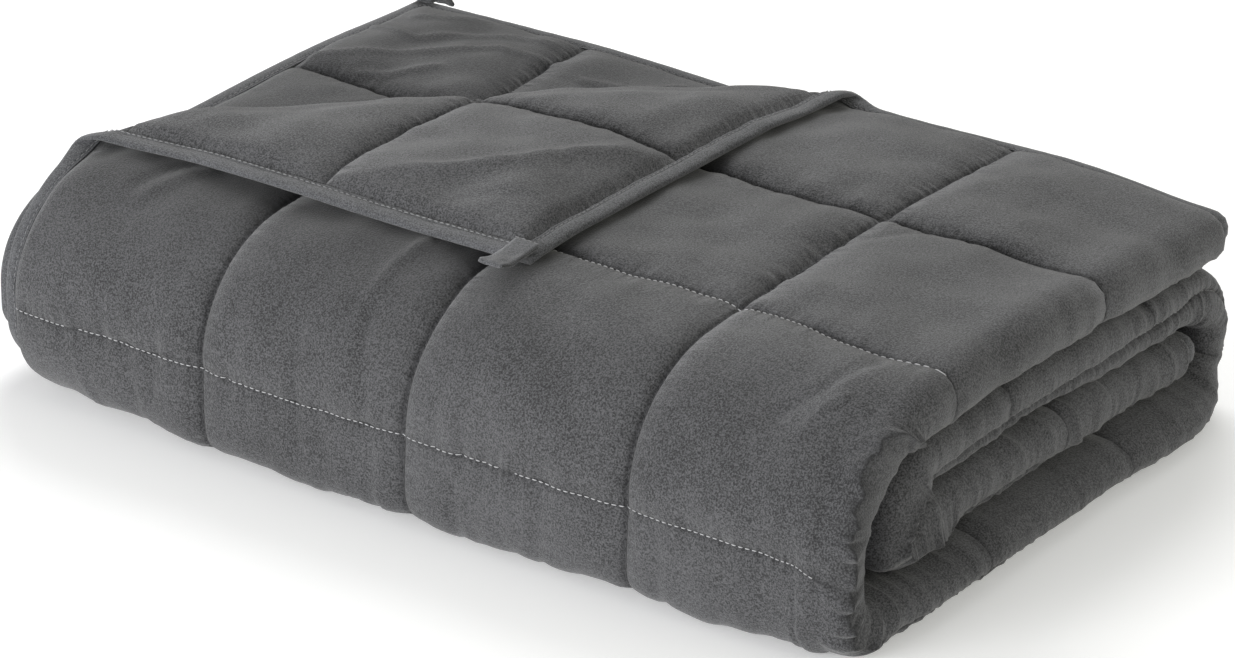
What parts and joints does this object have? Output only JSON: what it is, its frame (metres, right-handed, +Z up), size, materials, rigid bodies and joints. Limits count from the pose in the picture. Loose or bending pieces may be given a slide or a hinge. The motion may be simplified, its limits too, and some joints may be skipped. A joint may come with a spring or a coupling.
{
  "type": "weighted blanket",
  "caption": "Charcoal weighted blanket quilted in squares, folded into a neat stack with a corner turned back, bound edge and flat corner loops.",
  "frame": {"origin": "middle of the base of the object's box, on the surface that the stack lies on", "axes": "+X from the open end with the bound edges to the folded end, +Y from the rounded front to the back, +Z up"},
  "size_m": [0.6314, 0.4426, 0.1598],
  "materials": {
    "quilt_cloth": "brushed plain weave, matt charcoal",
    "binding_cloth": "folded strip of the same cloth, matt, a little lighter",
    "loop_tape": "flat woven tape, matt charcoal"
  },
  "bodies": {
    "root": {"quilt": "quilt_cloth", "edge_binding": "binding_cloth", "corner_loop_front": "loop_tape", "corner_loop_back": "loop_tape"}
  },
  "joints": []
}
